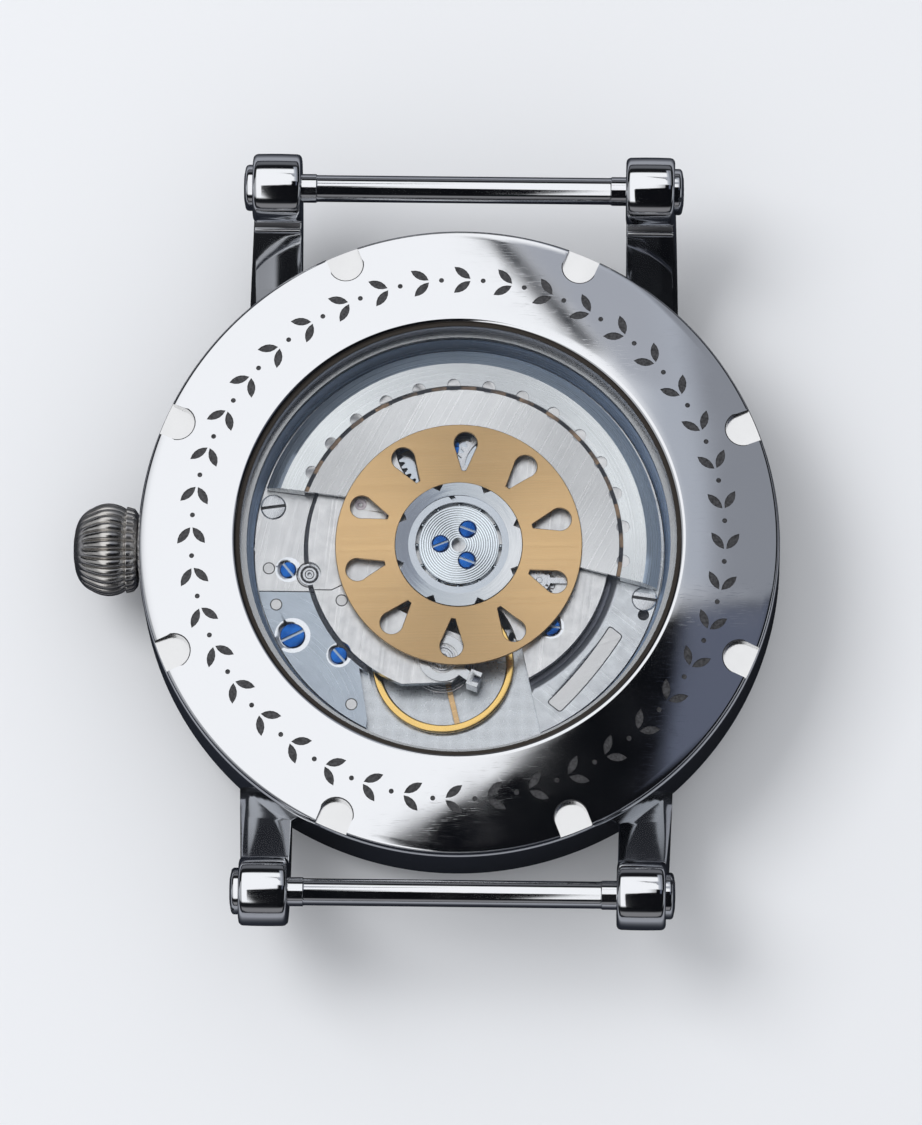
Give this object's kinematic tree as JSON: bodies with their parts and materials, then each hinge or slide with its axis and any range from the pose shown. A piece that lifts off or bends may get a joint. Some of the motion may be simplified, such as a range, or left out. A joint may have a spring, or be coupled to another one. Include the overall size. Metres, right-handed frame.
{
  "type": "wristwatch head with display back",
  "caption": "Round steel wristwatch head: notched screw-in display back over an automatic movement with an openwork gilt rotor, fluted crown, lugs with screwed strap bars.",
  "frame": {"origin": "centre of the front crystal's flat outer face, which the watch rests on face down", "axes": "+Z out of the case back, +Y to 12 o'clock, crown at -X (the wearer's 3 o'clock side, seen from the back)"},
  "size_m": [0.0441, 0.0494, 0.0109],
  "materials": {
    "polished_steel": "polished",
    "satin_steel": "satin",
    "sapphire": "polished",
    "gasket": "matte",
    "dial": "gloss",
    "hands": "polished",
    "rhodium": "satin",
    "plate_grey": "satin",
    "rotor_silver": "satin",
    "gilt": "satin",
    "train_gilt": "satin",
    "balance_gold": "polished",
    "blued_steel": "polished",
    "ruby": "polished"
  },
  "bodies": {
    "case": {"case_middle": "polished_steel", "lugs": "polished_steel", "strap_bars": "polished_steel", "lug_screws": "polished_steel", "bezel": "polished_steel", "front_crystal": "sapphire", "front_crystal_gasket": "gasket", "dial": "dial", "case_back_gasket": "gasket", "crown_tube": "satin_steel", "movement_ring": "satin_steel", "mainplate": "rhodium", "barrel_bridge": "rhodium", "train_bridge": "rhodium", "balance_cock": "plate_grey", "auto_bridge": "rhodium", "pallet_bridge": "rhodium", "hairspring": "blued_steel", "regulator": "satin_steel", "shock_settings": "satin_steel", "jewels": "ruby", "movement_screws": "blued_steel", "bearing_core": "satin_steel"},
    "back": {"case_back": "polished_steel", "back_crystal": "sapphire", "back_crystal_gasket": "gasket"},
    "crown_seal": {"crown_gasket": "gasket"},
    "crown": {"crown": "polished_steel", "winding_stem": "satin_steel"},
    "winding_pinion": {"winding_pinion": "satin_steel"},
    "crown_wheel": {"crown_wheel": "satin_steel"},
    "intermediate_wheel": {"intermediate_wheel": "satin_steel"},
    "winding_arbor": {"barrel_arbor": "blued_steel", "ratchet_wheel": "satin_steel"},
    "click": {"click": "satin_steel"},
    "sliding_pinion": {"sliding_pinion": "satin_steel"},
    "setting_lever": {"setting_lever": "satin_steel"},
    "yoke": {"yoke": "satin_steel"},
    "seconds": {"seconds_wheel": "train_gilt", "seconds_hand": "hands"},
    "centre": {"centre_wheel": "train_gilt", "cannon_pinion": "satin_steel", "minute_hand": "hands"},
    "hour": {"hour_wheel": "train_gilt", "hour_hand": "hands"},
    "minute_wheel": {"minute_wheel": "train_gilt"},
    "setting_wheel": {"setting_wheel": "train_gilt"},
    "third_wheel": {"third_wheel": "train_gilt"},
    "barrel": {"barrel": "train_gilt", "mainspring": "satin_steel"},
    "escape_wheel": {"escape_wheel": "satin_steel"},
    "pallets": {"pallet_fork": "satin_steel"},
    "balance": {"balance_wheel": "balance_gold"},
    "rotor": {"rotor_hub": "polished_steel", "rotor_ornament": "gilt", "rotor_weight": "rotor_silver"},
    "reverser_wheel": {"reverser_wheel": "satin_steel"},
    "reverser_pinion": {"reverser_pinion": "satin_steel"},
    "transfer_wheel": {"transfer_wheel": "train_gilt"},
    "reduction_wheel": {"reduction_wheel": "satin_steel"}
  },
  "joints": [
    {"name": "case_back_lift", "type": "slide", "parent": "case", "child": "back", "axis": [0, 0, 1], "range_m": [0, 0.012]},
    {"name": "crown_pull", "type": "slide", "parent": "case", "child": "crown_seal", "axis": [-1, 0, 0], "range_m": [0, 0.0012]},
    {"name": "crown_turn", "type": "hinge", "parent": "crown_seal", "child": "crown", "pos_m": [-0.02006, 0, 0.005], "axis": [-1, 0, 0], "continuous": true},
    {"name": "winding_pinion_turn", "type": "hinge", "parent": "case", "child": "winding_pinion", "pos_m": [-0.00931, 0, 0.005], "axis": [-1, 0, 0], "continuous": true},
    {"name": "crown_wheel_turn", "type": "hinge", "parent": "case", "child": "crown_wheel", "pos_m": [-0.00686, 0, 0.006], "axis": [0, 0, 1], "continuous": true},
    {"name": "intermediate_wheel_turn", "type": "hinge", "parent": "case", "child": "intermediate_wheel", "pos_m": [-0.00339, 0.00223, 0.006], "axis": [0, 0, 1], "continuous": true},
    {"name": "winding_arbor_turn", "type": "hinge", "parent": "case", "child": "winding_arbor", "pos_m": [-0.0009, 0.00653, 0.006], "axis": [0, 0, 1], "continuous": true},
    {"name": "reduction_wheel_turn", "type": "hinge", "parent": "case", "child": "reduction_wheel", "pos_m": [0.00233, 0.00519, 0.0063], "axis": [0, 0, 1], "continuous": true},
    {"name": "transfer_wheel_turn", "type": "hinge", "parent": "case", "child": "transfer_wheel", "pos_m": [0.00446, 0.00093, 0.0063], "axis": [0, 0, 1], "continuous": true},
    {"name": "reverser_pinion_turn", "type": "hinge", "parent": "case", "child": "reverser_pinion", "pos_m": [0.00505, -0.00209, 0.0063], "axis": [0, 0, 1], "continuous": true},
    {"name": "sliding_pinion_slide", "type": "slide", "parent": "case", "child": "sliding_pinion", "axis": [1, 0, 0], "range_m": [0, 0.0004]},
    {"name": "setting_lever_turn", "type": "hinge", "parent": "case", "child": "setting_lever", "pos_m": [-0.0116, 0.002, 0.004], "axis": [0, 0, -1], "range_deg": [0, 33.45]},
    {"name": "yoke_turn", "type": "hinge", "parent": "case", "child": "yoke", "pos_m": [-0.0092, -0.0026, 0.004], "axis": [0, 0, -1], "range_deg": [0, 9.12]},
    {"name": "click_lift", "type": "hinge", "parent": "case", "child": "click", "pos_m": [-0.0043, 0.00777, 0.006], "axis": [0, 0, -1], "range_deg": [0, 12], "stiffness_Nm_per_rad": 0.00001, "springref_deg": -5.73},
    {"name": "rotor_turn", "type": "hinge", "parent": "case", "child": "rotor", "pos_m": [0, 0, 0.007], "axis": [0, 0, 1], "continuous": true},
    {"name": "reverser_wheel_turn", "type": "hinge", "parent": "case", "child": "reverser_wheel", "pos_m": [0.00505, -0.00209, 0.0067], "axis": [0, 0, 1], "continuous": true},
    {"name": "seconds_turn", "type": "hinge", "parent": "case", "child": "seconds", "pos_m": [0, 0, 0.0057], "axis": [0, 0, 1], "continuous": true},
    {"name": "centre_turn", "type": "hinge", "parent": "case", "child": "centre", "pos_m": [0, 0, 0.0053], "axis": [0, 0, 1], "continuous": true},
    {"name": "hour_turn", "type": "hinge", "parent": "case", "child": "hour", "pos_m": [0, 0, 0.0038], "axis": [0, 0, 1], "continuous": true},
    {"name": "minute_wheel_turn", "type": "hinge", "parent": "case", "child": "minute_wheel", "pos_m": [-0.00307, -0.00057, 0.004], "axis": [0, 0, 1], "continuous": true},
    {"name": "setting_wheel_turn", "type": "hinge", "parent": "case", "child": "setting_wheel", "pos_m": [-0.0064, 0, 0.004], "axis": [0, 0, 1], "continuous": true},
    {"name": "third_wheel_turn", "type": "hinge", "parent": "case", "child": "third_wheel", "pos_m": [0.00492, 0.00087, 0.0055], "axis": [0, 0, 1], "continuous": true},
    {"name": "barrel_turn", "type": "hinge", "parent": "case", "child": "barrel", "pos_m": [-0.0009, 0.00653, 0.0045], "axis": [0, 0, 1], "continuous": true},
    {"name": "escape_wheel_turn", "type": "hinge", "parent": "case", "child": "escape_wheel", "pos_m": [0.00307, -0.00366, 0.0045], "axis": [0, 0, 1], "continuous": true},
    {"name": "pallet_swing", "type": "hinge", "parent": "case", "child": "pallets", "pos_m": [0.00148, -0.00503, 0.0045], "axis": [0, 0, 1], "range_deg": [-5, 5]},
    {"name": "balance_swing", "type": "hinge", "parent": "case", "child": "balance", "pos_m": [-0.0009, -0.0071, 0.0048], "axis": [0, 0, 1], "range_deg": [-270, 270], "stiffness_Nm_per_rad": 0.00000035}
  ],
  "couplings": [
    {"joint": "winding_pinion_turn", "follows": "crown_turn", "ratio": 1},
    {"joint": "crown_wheel_turn", "follows": "crown_turn", "ratio": -0.5},
    {"joint": "intermediate_wheel_turn", "follows": "crown_turn", "ratio": 0.51724},
    {"joint": "winding_arbor_turn", "follows": "crown_turn", "ratio": -0.35714},
    {"joint": "reduction_wheel_turn", "follows": "crown_turn", "ratio": 1.875},
    {"joint": "transfer_wheel_turn", "follows": "crown_turn", "ratio": -2.1094},
    {"joint": "reverser_pinion_turn", "follows": "crown_turn", "ratio": 5.625},
    {"joint": "sliding_pinion_slide", "follows": "crown_pull", "ratio": 0.33333},
    {"joint": "setting_lever_turn", "follows": "crown_pull", "rad_per_m": 485.76},
    {"joint": "yoke_turn", "follows": "crown_pull", "rad_per_m": 131.96},
    {"joint": "reverser_wheel_turn", "follows": "rotor_turn", "ratio": -1.4848},
    {"joint": "centre_turn", "follows": "seconds_turn", "ratio": 0.016667},
    {"joint": "hour_turn", "follows": "seconds_turn", "ratio": 0.0013889},
    {"joint": "minute_wheel_turn", "follows": "seconds_turn", "ratio": -0.0055556},
    {"joint": "setting_wheel_turn", "follows": "seconds_turn", "ratio": 0.0125},
    {"joint": "third_wheel_turn", "follows": "seconds_turn", "ratio": -0.13333},
    {"joint": "barrel_turn", "follows": "seconds_turn", "ratio": -0.0025},
    {"joint": "escape_wheel_turn", "follows": "seconds_turn", "ratio": -12}
  ]
}
